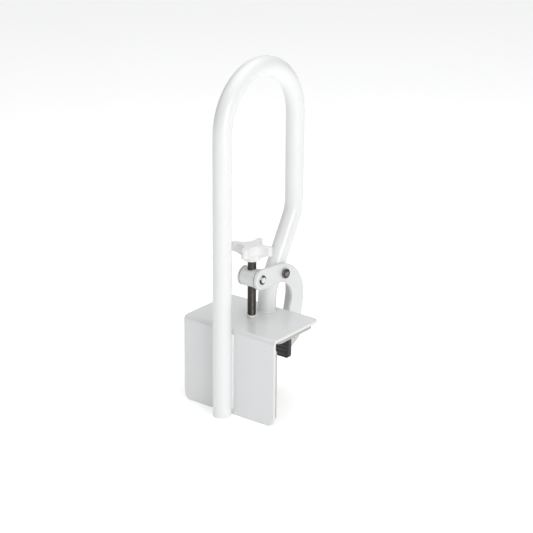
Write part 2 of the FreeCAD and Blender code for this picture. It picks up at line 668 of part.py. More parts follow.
def knob_ribs():
    """Gussets under the knob, one from the boss to each lobe."""
    z = KNOB_BODY_Z + 0.5
    near = KNOB_BOSS_RADIUS - 2.0
    half = KNOB_RIB_WIDTH / 2.0
    corners = [V(near, -half, z), V(KNOB_RIB_REACH, -half, z), V(near, -half, z - KNOB_RIB_DEPTH)]
    rib = Part.Face(Part.makePolygon(corners + corners[:1])).extrude(V(0, KNOB_RIB_WIDTH, 0))
    ribs = []
    for i in range(KNOB_LOBES):
        copy = rib.copy()
        copy.rotate(V(0, 0, 0), Z_AXIS, KNOB_TURN_DEG + 360.0 / KNOB_LOBES * i)
        ribs.append(copy)
    return ribs


def star_knob():
    """Four-lobe plastic knob with a tapered boss and ribs below and a blind socket."""
    body = extrude_edges(knob_outline(KNOB_BODY_Z), V(0, 0, KNOB_TOP_Z - KNOB_BODY_Z))
    rim = [e for e in body.Edges if e.BoundBox.ZLength < 0.01]
    body = body.makeFillet(1.3, rim)
    height = KNOB_BODY_Z + 1.0 - KNOB_BOSS_Z
    boss = Part.makeCone(KNOB_BOSS_RADIUS - 0.9, KNOB_BOSS_RADIUS, height, V(0, 0, KNOB_BOSS_Z), Z_AXIS)
    lower_edge = [e for e in boss.Edges if e.Closed and e.BoundBox.ZMax < KNOB_BOSS_Z + 0.01]
    boss = boss.makeFillet(KNOB_BOSS_ROUND, lower_edge)
    knob = body.fuse([boss] + knob_ribs()).removeSplitter()
    socket = rod_z(KNOB_BOSS_Z - 1, KNOB_BOSS_Z + INSERT_LENGTH + 1.0, 0, 0, INSERT_RADIUS)
    knob = knob.cut(socket)
    knob.translate(V(0, EYE_Y, 0))
    return knob


def knob_insert():
    """Steel bush moulded into the knob; the screw is fixed in its blind bore."""
    z0 = KNOB_BOSS_Z + 1.0
    bush = rod_z(z0, z0 + INSERT_LENGTH, 0, EYE_Y, INSERT_RADIUS)
    return bush.cut(rod_z(z0 - 1, SCREW_TOP_Z, 0, EYE_Y, SCREW_RADIUS))


# ---------------------------------------------------------------- output
NODES = [
    bracket_plate,
    grab_tube,
    leg_end_plug,
    front_leg_welds,
    rear_leg_weld,
    outer_wall_liner,
    rim_liner,
    pivot_bush,
    pivot_stud,
    pivot_nut,
    lever_spacer,
    lever_plate,
    jaw_strap,
    jaw_boss,
    jaw_welds,
    pad_carrier,
    pad_rubber,
    pad_pin,
    pad_pin_clip,
    trunnion_barrel,
    trunnion_washer,
    retaining_clip,
    thrust_foot,
    clamp_screw,
    star_knob,
    knob_insert,
]

os.makedirs("parts", exist_ok=True)
for make in NODES:
    shape = make()
    solids = len(shape.Solids)
    box = shape.BoundBox
    shape.exportStep("parts/" + make.__name__ + ".step")
    print(f"{make.__name__:18s} solids {solids} valid {shape.isValid()} volume {shape.Volume:9.0f} mm3",
          f"x {box.XMin:.1f} {box.XMax:.1f} y {box.YMin:.1f} {box.YMax:.1f} z {box.ZMin:.1f} {box.ZMax:.1f}")
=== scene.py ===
import math

import bmesh
import bpy
from mathutils import Matrix, Vector, noise


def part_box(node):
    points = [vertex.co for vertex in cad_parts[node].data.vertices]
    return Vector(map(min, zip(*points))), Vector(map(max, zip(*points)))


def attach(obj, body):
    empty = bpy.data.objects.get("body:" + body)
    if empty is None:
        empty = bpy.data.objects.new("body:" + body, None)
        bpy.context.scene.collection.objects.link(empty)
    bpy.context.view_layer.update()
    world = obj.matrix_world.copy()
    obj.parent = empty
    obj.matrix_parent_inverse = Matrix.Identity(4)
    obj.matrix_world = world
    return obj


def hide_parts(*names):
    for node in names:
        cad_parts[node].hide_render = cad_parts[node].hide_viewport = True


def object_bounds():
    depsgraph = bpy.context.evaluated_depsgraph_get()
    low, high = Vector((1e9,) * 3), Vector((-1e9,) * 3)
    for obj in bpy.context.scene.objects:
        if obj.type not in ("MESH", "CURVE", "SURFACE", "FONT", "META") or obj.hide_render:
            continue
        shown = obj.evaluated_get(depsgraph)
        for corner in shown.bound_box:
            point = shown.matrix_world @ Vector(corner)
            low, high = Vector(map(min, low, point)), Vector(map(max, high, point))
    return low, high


# Looks of a clamp-on bathtub grab rail. Metres, in the CAD row's frame:
# +X along the tub rim, +Y from the room into the bath, +Z up.

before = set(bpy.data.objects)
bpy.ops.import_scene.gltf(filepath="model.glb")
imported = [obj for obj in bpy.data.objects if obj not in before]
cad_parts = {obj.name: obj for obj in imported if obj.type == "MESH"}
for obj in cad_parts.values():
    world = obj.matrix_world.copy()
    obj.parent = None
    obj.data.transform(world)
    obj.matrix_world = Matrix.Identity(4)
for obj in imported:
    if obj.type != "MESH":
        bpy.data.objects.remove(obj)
cad_low, cad_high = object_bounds()
MM = 0.001


# ---------------------------------------------------------------- node helpers
class Nodes:
    """A small builder for one material's node tree."""

    def __init__(self, name):
        self.material = bpy.data.materials.new(name)
        self.material.use_nodes = True
        self.tree = self.material.node_tree
        self.tree.nodes.clear()
        self.out = self.add("ShaderNodeOutputMaterial")
        self.shader = self.add("ShaderNodeBsdfPrincipled")
        self.link(self.shader.outputs["BSDF"], self.out.inputs["Surface"])
        self.coords = self.add("ShaderNodeTexCoord").outputs["Object"]

    @classmethod
    def on(cls, material):
        """The builder again, for a material that is already made."""
        nodes = cls.__new__(cls)
        nodes.material = material
        nodes.tree = material.node_tree
        nodes.shader = next(n for n in nodes.tree.nodes if n.type == "BSDF_PRINCIPLED")
        nodes.coords = next(n for n in nodes.tree.nodes if n.type == "TEX_COORD").outputs["Object"]
        return nodes

    def add(self, kind, **settings):
        node = self.tree.nodes.new(kind)
        for key, value in settings.items():
            setattr(node, key, value)
        return node

    def link(self, source, target):
        self.tree.links.new(source, target)

    def stretched(self, scale):
        """Object coordinates scaled on each axis."""
        node = self.add("ShaderNodeMapping")
        node.inputs["Scale"].default_value = scale
        self.link(self.coords, node.inputs["Vector"])
        return node.outputs["Vector"]

    def noise(self, scale, detail, roughness=0.55, vector=None):
        node = self.add("ShaderNodeTexNoise")
        node.inputs["Scale"].default_value = scale
        node.inputs["Detail"].default_value = detail
        node.inputs["Roughness"].default_value = roughness
        self.link(vector or self.coords, node.inputs["Vector"])
        return node.outputs["Fac"]

    def cells(self, scale):
        """Distance from the nearest cell's centre."""
        node = self.add("ShaderNodeTexVoronoi", feature="F1")
        node.inputs["Scale"].default_value = scale
        self.link(self.coords, node.inputs["Vector"])
        return node.outputs["Distance"]

    def span(self, value, low, high, to_low=0.0, to_high=1.0):
        """Maps low..high of a value onto to_low..to_high, clamped."""
        node = self.add("ShaderNodeMapRange")
        node.inputs["From Min"].default_value = low
        node.inputs["From Max"].default_value = high
        node.inputs["To Min"].default_value = to_low
        node.inputs["To Max"].default_value = to_high
        self.link(value, node.inputs["Value"])
        return node.outputs["Result"]

    def math(self, operation, a, b):
        node = self.add("ShaderNodeMath", operation=operation)
        for socket, value in zip(node.inputs, (a, b)):
            if isinstance(value, (int, float)):
                socket.default_value = value
            else:
                self.link(value, socket)
        return node.outputs["Value"]

    def blend(self, factor, a, b):
        """A colour mix; a and b are colours or sockets."""
        node = self.add("ShaderNodeMix", data_type="RGBA")
        self.link(factor, node.inputs["Factor"])
        for socket, value in ((node.inputs[6], a), (node.inputs[7], b)):
            if isinstance(value, tuple):
                socket.default_value = (*value, 1.0)
            else:
                self.link(value, socket)
        return node.outputs[2]

    def axis(self, letter):
        """One object coordinate, in metres."""
        node = self.add("ShaderNodeSeparateXYZ")
        self.link(self.coords, node.inputs["Vector"])
        return node.outputs[letter]

    def edge_mask(self, width):
        """About 1 within width of a sharp edge, 0 on flats."""
        bevel = self.add("ShaderNodeBevel", samples=4)
        bevel.inputs["Radius"].default_value = width
        geometry = self.add("ShaderNodeNewGeometry")
        dot = self.add("ShaderNodeVectorMath", operation="DOT_PRODUCT")
        self.link(bevel.outputs["Normal"], dot.inputs[0])
        self.link(geometry.outputs["Normal"], dot.inputs[1])
        return self.span(dot.outputs["Value"], 0.995, 0.86)

    def bump(self, height, depth, strength, base=None):
        node = self.add("ShaderNodeBump")
        node.inputs["Strength"].default_value = strength
        node.inputs["Distance"].default_value = depth
        self.link(height, node.inputs["Height"])
        if base is not None:
            self.link(base, node.inputs["Normal"])
        return node.outputs["Normal"]

    def set(self, **values):
        """Sets or links the shader's sockets; underscores stand for spaces."""
        for key, value in values.items():
            socket = self.shader.inputs[key.replace("_", " ")]
            if isinstance(value, bpy.types.NodeSocket):
                self.link(value, socket)
            elif isinstance(value, tuple):
                socket.default_value = (*value, 1.0)
            else:
                socket.default_value = value
        return self.material


# ---------------------------------------------------------------- materials
PEEL_HEIGHT = 0.006 * MM
GRAIN_HEIGHT = 0.0015 * MM
COAT_ROUGHNESS = 0.08


def powder_coat(name, colour, shade, peel_scale, roughness, coat):
    """Stoved white powder coat: orange peel, faint tone drift, faintly darkened edges."""
    n = Nodes(name)
    drift = n.span(n.noise(6.0, 0.5), 0.3, 0.7)
    tone = n.blend(drift, colour, shade)
    edge = n.math("MULTIPLY", n.edge_mask(0.0012), n.span(n.noise(160.0, 5.0), 0.42, 0.75))
    worn = n.blend(n.math("MULTIPLY", edge, 0.35), tone, tuple(0.86 * c for c in shade))
    peel = n.noise(peel_scale, 2.0, 0.5)
    grain = n.noise(peel_scale * 6.0, 2.0, 0.5)
    relief = n.bump(peel, PEEL_HEIGHT, 0.6)
    relief = n.bump(grain, GRAIN_HEIGHT, 0.5, relief)
    smears = n.span(n.noise(30.0, 3.0, 0.5), 0.3, 0.72, roughness - 0.02, roughness + 0.03)
    n.set(Coat_Weight=coat, Coat_Roughness=COAT_ROUGHNESS, Specular_IOR_Level=0.5)
    return n.set(Base_Color=worn, Roughness=smears, Normal=relief)


def with_painted_gap_shade(material, lines, line_width, gap_shade):
    """Adds painted shade to a coat: dark lines round the piece at the given x, where the gaps between
    parts fall.
    """
    n = Nodes.on(material)
    gap_shade_mask = None
    for x in lines:
        # each line is painted shade, darkest at its x and fading out to line_width
        gap = n.math("ABSOLUTE", n.math("SUBTRACT", n.axis("X"), x), 0.0)
        line = n.span(gap, line_width, 0.4 * line_width)
        gap_shade_mask = line if gap_shade_mask is None else n.math("MAXIMUM", gap_shade_mask, line)
    patchy = n.span(n.noise(240.0, 3.0), 0.2, 0.55, 0.55, 1.0)
    unshaded_tone = n.shader.inputs["Base Color"].links[0].from_socket
    n.set(Base_Color=n.blend(n.math("MULTIPLY", gap_shade_mask, patchy), unshaded_tone, gap_shade))
    return material


def moulded_plastic(name, colour, shade, roughness):
    """Injection moulded plastic: fine spark texture, flow tone, scuffed rims."""
    n = Nodes(name)
    tone = n.blend(n.span(n.noise(22.0, 3.0), 0.35, 0.7), colour, shade)
    scuffs = n.noise(1.0, 5.0, 0.6, n.stretched((140.0, 700.0, 240.0)))
    scuffed = n.math("MULTIPLY", n.edge_mask(0.0015), n.span(scuffs, 0.5, 0.7))
    tone = n.blend(n.math("MULTIPLY", scuffed, 0.3), tone, tuple(0.8 * c for c in shade))
    texture = n.noise(2600.0, 2.0)
    relief = n.bump(texture, 0.000002, 0.5)
    relief = n.bump(n.noise(120.0, 2.0), 0.00001, 0.4, relief)
    rough = n.span(n.noise(60.0, 5.0), 0.3, 0.7, roughness - 0.04, roughness + 0.08)
    n.set(Specular_IOR_Level=0.5)
    return n.set(Base_Color=tone, Roughness=rough, Normal=relief)


def nylon_plastic(name, colour, shade):
    """Turned natural nylon: satin, with fine lathe rings."""
    n = Nodes(name)
    tone = n.blend(n.span(n.noise(180.0, 4.0), 0.35, 0.7), colour, shade)
    rings = n.noise(1.0, 2.0, 0.5, n.stretched((60.0, 60.0, 5200.0)))
    relief = n.bump(rings, 0.000006, 0.5)
    rough = n.span(n.noise(300.0, 4.0), 0.3, 0.7, 0.34, 0.5)
    n.set(Specular_IOR_Level=0.5)
    return n.set(Base_Color=tone, Roughness=rough, Normal=relief)


def dark_steel(name, colour, bright, roughness, streak):
    """Blackened, oiled steel: machining streaks, rubbed edges, a little brown bloom."""
    n = Nodes(name)
    bloom = n.span(n.noise(260.0, 5.0), 0.42, 0.7)
    tone = n.blend(bloom, colour, (colour[0] * 1.35, colour[1] * 1.18, colour[2] * 1.0))
    rubbed = n.math("MULTIPLY", n.edge_mask(0.0004), n.span(n.noise(900.0, 4.0), 0.35, 0.65))
    tone = n.blend(n.math("MULTIPLY", rubbed, 0.8), tone, bright)
    streaks = n.noise(1.0, 3.0, 0.6, n.stretched(streak))
    relief = n.bump(streaks, 0.000004, 0.5)
    rough = n.span(streaks, 0.3, 0.7, roughness - 0.05, roughness + 0.04)
    n.set(Metallic=1.0)
    return n.set(Base_Color=tone, Roughness=rough, Normal=relief)


def nut_painted_facets(name, flat, face):
    """A blackened nut with painted reflection and shade: its flats painted light, its outer face painted
    dark, its edges lighter, partly wear and partly painted highlight.
    """
    n = Nodes(name)
    # the painted dark shade on the face starts 2.2 mm behind the outer face and is full 0.4 mm behind it
    face_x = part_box("pivot_nut")[1].x
    toward_face = n.span(n.axis("X"), face_x - 2.2 * MM, face_x - 0.4 * MM)
    patches = n.span(n.noise(330.0, 3.0), 0.38, 0.62, -0.35, 0.35)
    painted_face_shade = n.span(n.math("ADD", toward_face, patches), 0.0, 1.0)
    tone = n.blend(painted_face_shade, flat, face)
    # edges painted lighter: partly rubbed wear, partly painted highlight
    rubbed = n.math("MULTIPLY", n.edge_mask(0.0004), n.span(n.noise(900.0, 4.0), 0.35, 0.6))
    tone = n.blend(n.math("MULTIPLY", rubbed, 0.85), tone, (0.60, 0.57, 0.53))
    relief = n.bump(n.noise(1600.0, 4.0), 0.000004, 0.5)
    rough = n.span(n.noise(700.0, 4.0), 0.3, 0.7, 0.15, 0.25)
    n.set(Metallic=1.0)
    return n.set(Base_Color=tone, Roughness=rough, Normal=relief)


def zinc_steel(name, colour, shade, roughness):
    """Zinc plated steel: spangle in its tone, uneven gloss, dulled edges."""
    n = Nodes(name)
    spangle = n.cells(900.0)
    tone = n.blend(n.span(spangle, 0.1, 0.7), colour, shade)
    dulled = n.math("MULTIPLY", n.edge_mask(0.0006), n.span(n.noise(500.0, 4.0), 0.4, 0.7))
    tone = n.blend(n.math("MULTIPLY", dulled, 0.6), tone, (0.33, 0.32, 0.30))
    rough = n.span(n.noise(420.0, 4.0), 0.3, 0.7, roughness - 0.06, roughness + 0.08)
    relief = n.bump(n.noise(1500.0, 3.0), 0.000002, 0.6)
    n.set(Metallic=1.0)
    return n.set(Base_Color=tone, Roughness=rough, Normal=relief)


def soft_rubber(name, colour, shade, pore_scale, pore_depth):
    """Matte rubber or foam skin: dark pores, rubbed edges, a faint sheen."""
    n = Nodes(name)
    pores = n.cells(pore_scale)
    pits = n.span(pores, 0.0, 0.42)
    tone = n.blend(n.span(n.noise(45.0, 5.0), 0.3, 0.72), colour, shade)
    tone = n.blend(n.span(pores, 0.05, 0.0), tone, tuple(0.55 * c for c in shade))
    rubbed = n.math("MULTIPLY", n.edge_mask(0.0015), n.span(n.noise(220.0, 5.0), 0.4, 0.7))
    tone = n.blend(n.math("MULTIPLY", rubbed, 0.4), tone, tuple(min(1.0, 1.25 * c) for c in colour))
    relief = n.bump(pits, pore_depth, 0.6)
    relief = n.bump(n.noise(700.0, 4.0), pore_depth * 0.6, 0.4, relief)
    rough = n.span(n.noise(90.0, 4.0), 0.3, 0.7, 0.68, 0.88)
    n.set(Sheen_Weight=0.15, Sheen_Roughness=0.5, Specular_IOR_Level=0.3)
    return n.set(Base_Color=tone, Roughness=rough, Normal=relief)


BRACKET_COAT = powder_coat(
    "bracket_coat", (0.775, 0.788, 0.791), (0.76, 0.773, 0.777), peel_scale=420.0, roughness=0.33, coat=0.8
)
TUBE_COAT = powder_coat(
    "tube_coat", (0.86, 0.865, 0.865), (0.845, 0.85, 0.85), peel_scale=420.0, roughness=0.34, coat=0.55
)
# the lever's paint: colour, shade, peel scale, roughness, coat
LEVER_PAINT = ((0.785, 0.79, 0.792), (0.77, 0.775, 0.777), 520.0, 0.36, 0.4)
LEVER_COAT = powder_coat("lever_coat", *LEVER_PAINT)
# where the painted gap shade lies: in the groove by the left flange, and at both sides of the right collar
GAP_SHADE_X = (-12.9 * MM, 10.5 * MM, 12.95 * MM)
GAP_SHADE_WIDTH = 0.45 * MM
GAP_SHADE_COLOUR = (0.10, 0.095, 0.09)
# the barrel's paint, with painted shade in dark lines at its flange gaps
BARREL_COAT = with_painted_gap_shade(powder_coat("barrel_coat", *LEVER_PAINT), GAP_SHADE_X, GAP_SHADE_WIDTH, GAP_SHADE_COLOUR)
KNOB_PLASTIC = moulded_plastic("knob_plastic", (0.84, 0.84, 0.835), (0.82, 0.82, 0.81), roughness=0.40)
PLUG_PLASTIC = moulded_plastic("plug_plastic", (0.85, 0.85, 0.845), (0.82, 0.82, 0.81), roughness=0.42)
NYLON = nylon_plastic("nylon", (0.90, 0.90, 0.88), (0.86, 0.86, 0.83))
# streak is the noise scale on each axis, so the streaks run along the smallest
SCREW_STEEL = dark_steel(
    "screw_steel", (0.120, 0.116, 0.110), bright=(0.36, 0.35, 0.34), roughness=0.36,
    streak=(700.0, 700.0, 60.0),
)
STUD_STEEL = dark_steel(
    "stud_steel", (0.17, 0.165, 0.155), bright=(0.50, 0.48, 0.45), roughness=0.21,
    streak=(900.0, 120.0, 120.0),
)
# the nut: flat is the painted reflection on its flats, face the painted shade on its outer face
NUT_STEEL = nut_painted_facets("nut_painted_facets", flat=(0.27, 0.24, 0.21), face=(0.022, 0.022, 0.026))
CLIP_STEEL = dark_steel(
    "clip_steel", (0.040, 0.039, 0.038), bright=(0.25, 0.25, 0.25), roughness=0.35,
    streak=(500.0, 500.0, 500.0),
)
ZINC = zinc_steel("zinc", (0.66, 0.66, 0.64), (0.54, 0.54, 0.52), roughness=0.37)
LINER_RUBBER = soft_rubber(
    "liner_rubber", (0.54, 0.50, 0.47), (0.49, 0.455, 0.43), pore_scale=900.0, pore_depth=0.06 * MM
)
PAD_RUBBER = soft_rubber(
    "pad_rubber", (0.060, 0.060, 0.062), (0.045, 0.045, 0.046), pore_scale=1400.0, pore_depth=0.03 * MM
)

NODE_LOOKS = {
    "bracket_plate": BRACKET_COAT,
    "grab_tube": TUBE_COAT,
    "leg_end_plug": PLUG_PLASTIC,
    "front_leg_welds": TUBE_COAT,
    "rear_leg_weld": TUBE_COAT,
    "outer_wall_liner": LINER_RUBBER,
    "rim_liner": LINER_RUBBER,
    "pivot_bush": ZINC,
    "pivot_stud": STUD_STEEL,
    "pivot_nut": NUT_STEEL,
    "lever_spacer": NYLON,
    "lever_plate": LEVER_COAT,
    "jaw_strap": LEVER_COAT,
    "jaw_boss": LEVER_COAT,
    "jaw_welds": LEVER_COAT,
    "pad_carrier": ZINC,
    "pad_rubber": PAD_RUBBER,
    "pad_pin": ZINC,
    "pad_pin_clip": CLIP_STEEL,
    "trunnion_barrel": BARREL_COAT,
    "trunnion_washer": NYLON,
    "retaining_clip": CLIP_STEEL,
    "thrust_foot": NYLON,
    "clamp_screw": SCREW_STEEL,
    "star_knob": KNOB_PLASTIC,
    "knob_insert": ZINC,
}


def dress(obj, material):
    """One material for the whole of a mesh."""
    obj.data.materials.clear()
    obj.data.materials.append(material)


for node_name, look in NODE_LOOKS.items():
    dress(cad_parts[node_name], look)


# ---------------------------------------------------------------- mesh helpers
def new_piece(name, mesh_data, material, body, slot, *nodes):
    """A finished bmesh as a smooth piece that rides on a body and stands for CAD nodes."""
    mesh = bpy.data.meshes.new(name)
    mesh_data.to_mesh(mesh)
    mesh_data.free()
    obj = bpy.data.objects.new(name, mesh)
    bpy.context.scene.collection.objects.link(obj)
    dress(obj, material)
    for polygon in mesh.polygons:
        polygon.use_smooth = True
    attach(obj, body)
    if nodes:
        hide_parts(*nodes)
    return obj


def grid_faces(bm, rows, close_rows=False, close_columns=False):
    """Quads between neighbouring rows of vertices."""
    row_count, column_count = len(rows), len(rows[0])
    for i in range(row_count if close_rows else row_count - 1):
        upper = rows[(i + 1) % row_count]
        for j in range(column_count if close_columns else column_count - 1):
            k = (j + 1) % column_count
            corners = [rows[i][j], rows[i][k], upper[k], upper[j]]
            if len(set(corners)) == 4:
                bm.faces.new(corners)


def crisp(bm, degrees):
    """Marks edges sharper than an angle, so that smooth shading stops at them."""
    bm.normal_update()
    limit = math.radians(degrees)
    for edge in bm.edges:
        edge.smooth = len(edge.link_faces) == 2 and edge.calc_face_angle(0.0) < limit


# ---------------------------------------------------------------- clamp screw
THREAD_LEAD = 1.75 * MM
THREAD_DEPTH = 0.80 * MM
THREAD_STEPS = 48
# one turn's profile: share of the lead, and depth below the crest
THREAD_PROFILE = ((0.00, 0.0), (0.26, 0.0), (0.54, 1.0), (0.72, 1.0))
THREAD_CHAMFER = 0.9 * MM
THREAD_CRISP_DEG = 70.0
SHOULDER_GAP = 0.2 * MM
TIP_RADIUS = 4.0 * MM
TIP_CHAMFER = 0.4 * MM
TIP_STEPS = 32
JOIN_DISTANCE = 0.01 * MM


def thread_radius(outer, z, low, high):
    """The screw's outer radius at a height, with its two chamfered ends."""
    from_end = min(z - low, high - z)
    return min(outer, outer - THREAD_CHAMFER + max(from_end, 0.0))


def screw_thread():
    """The clamp screw with a real right-hand M12 thread, cut between its two ends."""
    low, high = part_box("clamp_screw")
    axis_x, axis_y = (low.x + high.x) / 2, (low.y + high.y) / 2
    outer = (high.x - low.x) / 2
    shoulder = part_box("thrust_foot")[1].z + SHOULDER_GAP
    turns = int((high.z - shoulder) / THREAD_LEAD) + 3
    bm = bmesh.new()
    rows = []
    for i in range(turns):
        for share, cut in THREAD_PROFILE:
            row = []
            for j in range(THREAD_STEPS + 1):
                angle = 2 * math.pi * j / THREAD_STEPS
                raw = shoulder + (i - 1 + share + j / THREAD_STEPS) * THREAD_LEAD
                z = min(max(raw, shoulder), high.z)
                radius = outer - cut * THREAD_DEPTH
                radius = min(radius, thread_radius(outer, z, shoulder, high.z))
                x = axis_x + radius * math.cos(angle)
                y = axis_y + radius * math.sin(angle)
                row.append(bm.verts.new((x, y, z)))
            rows.append(row)
    grid_faces(bm, rows)
    bmesh.ops.remove_doubles(bm, verts=bm.verts, dist=JOIN_DISTANCE)
    cap_and_tip(bm, axis_x, axis_y, shoulder, low.z, high.z)
    crisp(bm, THREAD_CRISP_DEG)
    new_piece("clamp_screw_threaded", bm, SCREW_STEEL, "screw", "dark_steel", "clamp_screw")


def cap_and_tip(bm, axis_x, axis_y, shoulder, tip_low, top):
    """Closes the rod's two ends: a flat top, and the turned tip that sits in the foot."""
    for z in (top, shoulder):
        loop = [v for v in bm.verts if abs(v.co.z - z) < JOIN_DISTANCE / 2]
        rim = sorted(loop, key=lambda v: math.atan2(v.co.y - axis_y, v.co.x - axis_x))
        centre = bm.verts.new((axis_x, axis_y, z))
        for a, b in zip(rim, rim[1:] + rim[:1]):
            bm.faces.new((centre, a, b) if z == top else (centre, b, a))
    profile = (
        (TIP_RADIUS, shoulder),
        (TIP_RADIUS, tip_low + TIP_CHAMFER),
        (TIP_RADIUS - TIP_CHAMFER, tip_low),
    )
    rings = []
    for radius, z in profile:
        ring = []
        for j in range(TIP_STEPS):
            angle = 2 * math.pi * j / TIP_STEPS
            x = axis_x + radius * math.cos(angle)
            y = axis_y + radius * math.sin(angle)
            ring.append(bm.verts.new((x, y, z)))
        rings.append(ring)
    grid_faces(bm, rings, close_columns=True)
    bm.faces.new(rings[-1])


screw_thread()


# ---------------------------------------------------------------- weld beads
RIPPLE_PITCH = 2.6 * MM
RIPPLE_STEPS = 6
RIPPLE_HEIGHT = 0.05
RIPPLE_LAG = 1.6
BEAD_STEPS = 8
BEAD_FLATNESS = 1.4
BEAD_TAPER = 3.0 * MM
BEAD_OVERLAP = 0.1 * MM
# the long beads: corner and reach along the plate as shares of the leg's radius
BEAD_CORNER_SHARE = 0.42
BEAD_REACH_SHARE = 0.79
BEAD_CORNER_DEPTH = 0.3 * MM
BEAD_LIFT = 0.02 * MM
# where a long bead's free edge meets the leg, measured round the leg from the plate
BEAD_MEET_DEG = 43.0


def weld_bead(bm, spine, length, closed=False):
    """A convex, rippled bead. spine(t) gives its corner and its two legs along the joint."""
    count = max(int(length / RIPPLE_PITCH), 1) * RIPPLE_STEPS
    rows = []
    for i in range(count if closed else count + 1):
        corner, leg_a, leg_b = spine(i / count)
        run = length * i / count
        from_end = 1.0 if closed else min(run, length - run) / BEAD_TAPER
        size = math.sqrt(max(1.0 - (1.0 - min(from_end, 1.0)) ** 2, 0.01))
        row = [bm.verts.new(corner)]
        for j in range(BEAD_STEPS + 1):
            angle = math.pi / 2 * j / BEAD_STEPS
            crest = math.sin(2 * angle)
            wave = math.sin(2 * math.pi * i / RIPPLE_STEPS - RIPPLE_LAG * crest)
            swell = size * (1.0 + RIPPLE_HEIGHT * wave * (0.35 + 0.65 * crest))
            along_a = leg_a * max(math.cos(angle), 0.0) ** BEAD_FLATNESS
            along_b = leg_b * math.sin(angle) ** BEAD_FLATNESS
            row.append(bm.verts.new(corner + swell * (along_a + along_b)))
        rows.append(row)
    grid_faces(bm, rows, close_rows=closed, close_columns=True)
    if not closed:
        bm.faces.new(rows[0])
        bm.faces.new(list(reversed(rows[-1])))


def front_leg_beads():
    """The two long beads where the front leg lies on the front plate."""
    low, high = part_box("front_leg_welds")
    tube_low, tube_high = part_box("grab_tube")
    leg_radius = tube_high.x
    leg_y = tube_low.y + leg_radius
    meet = math.radians(BEAD_MEET_DEG)
    length = high.z - low.z
    bm = bmesh.new()
    for side in (-1, 1):
        corner = Vector((side * BEAD_CORNER_SHARE * leg_radius, -BEAD_CORNER_DEPTH, 0.0))
        on_plate = Vector((side * BEAD_REACH_SHARE * leg_radius, BEAD_LIFT, 0.0))
        on_leg = Vector((side * leg_radius * math.sin(meet), leg_y + leg_radius * math.cos(meet), 0.0))

        def spine(t):
            rise = Vector((0.0, 0.0, low.z + t * length))
            return corner + rise, on_plate - corner, on_leg - corner

        weld_bead(bm, spine, length)
    bmesh.ops.recalc_face_normals(bm, faces=bm.faces)
    new_piece("front_leg_beads", bm, TUBE_COAT, "root", "tube_coat", "front_leg_welds")


def rear_leg_bead():
    """The ring bead round the foot of the rear leg."""
    low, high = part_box("rear_leg_weld")
    centre = (low + high) / 2
    outer = (high.x - low.x) / 2
    size = high.z - low.z
    inner = outer - size - BEAD_OVERLAP

    def spine(t):
        angle = 2 * math.pi * t
        out = Vector((math.cos(angle), math.sin(angle), 0.0))
        corner = Vector((centre.x, centre.y, low.z)) + inner * out
        return corner, out * (size + 2 * BEAD_OVERLAP), Vector((0.0, 0.0, size + BEAD_OVERLAP))

    bm = bmesh.new()
    weld_bead(bm, spine, 2 * math.pi * inner, closed=True)
    bmesh.ops.recalc_face_normals(bm, faces=bm.faces)
    new_piece("rear_leg_bead", bm, TUBE_COAT, "root", "tube_coat", "rear_leg_weld")


# the centre of the hook's arc, and where each stitch starts and ends round it
HOOK_CENTRE_Y = 89.0 * MM
HOOK_CENTRE_Z = 10.0 * MM
STITCH_SPANS_DEG = ((22.0, 33.0), (5.0, 16.0), (-11.0, -1.0))


def jaw_stitch_beads():
    """Short stitch beads in the corner between the lever plate and the strap."""
    low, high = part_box("jaw_welds")
    plate_x = high.x
    size = high.x - low.x
    radius = high.y - HOOK_CENTRE_Y
    bm = bmesh.new()
    for first, last in STITCH_SPANS_DEG:
        length = radius * math.radians(last - first)

        def spine(t):
            angle = math.radians(first + (last - first) * t)
            out = Vector((0.0, math.cos(angle), math.sin(angle)))
            corner = Vector((plate_x, HOOK_CENTRE_Y, HOOK_CENTRE_Z)) + radius * out
            return corner, Vector((-size, 0.0, 0.0)), -size * out

        weld_bead(bm, spine, length)
    bmesh.ops.recalc_face_normals(bm, faces=bm.faces)
    new_piece("jaw_stitch_beads", bm, LEVER_COAT, "lever", "lever_coat", "jaw_welds")


front_leg_beads()
rear_leg_bead()
jaw_stitch_beads()


# ---------------------------------------------------------------- foam liners
LINER_CORNER = 7.0 * MM
LINER_CORNER_STEPS = 8
LINER_SIDE_STEPS = 24
# inset from the outline in mm, and depth as a share of the thickness
FOAM_RINGS = (
    (1.0, 0.0), (0.25, 0.03), (0.0, 0.14), (-0.35, 0.40), (-0.40, 0.58),
    (-0.1, 0.78), (0.5, 0.91), (1.4, 0.975), (3.0, 0.99), (5.5, 1.0),
)
FOAM_FACE_INSET = FOAM_RINGS[-1][0] * MM
FOAM_FACE_SHARES = (0.9, 0.78, 0.66, 0.54, 0.42, 0.3, 0.18, 0.08)
FOAM_WAVE = 0.22 * MM
FOAM_WAVE_SCALE = 55.0
FOAM_GRAIN = 0.06 * MM
FOAM_GRAIN_SCALE = 190.0
FOAM_RIM_SCALE = 70.0


def rounded_outline(half_a, half_b, radius):
    """Points round a rectangle with round corners, each with its outward direction."""
    points = []
    signs = ((1, 1), (-1, 1), (-1, -1), (1, -1))
    for quarter, (sign_a, sign_b) in enumerate(signs):
        centre = Vector((sign_a * (half_a - radius), sign_b * (half_b - radius)))
        for i in range(LINER_CORNER_STEPS + 1):
            angle = math.pi / 2 * (quarter + i / LINER_CORNER_STEPS)
            out = Vector((math.cos(angle), math.sin(angle)))
            points.append((centre + radius * out, out))
        next_a, next_b = signs[(quarter + 1) % 4]
        following = Vector((next_a * (half_a - radius), next_b * (half_b - radius))) + radius * out
        start = points[-1][0]
        for i in range(1, LINER_SIDE_STEPS):
            points.append((start.lerp(following, i / LINER_SIDE_STEPS), out))
    return points


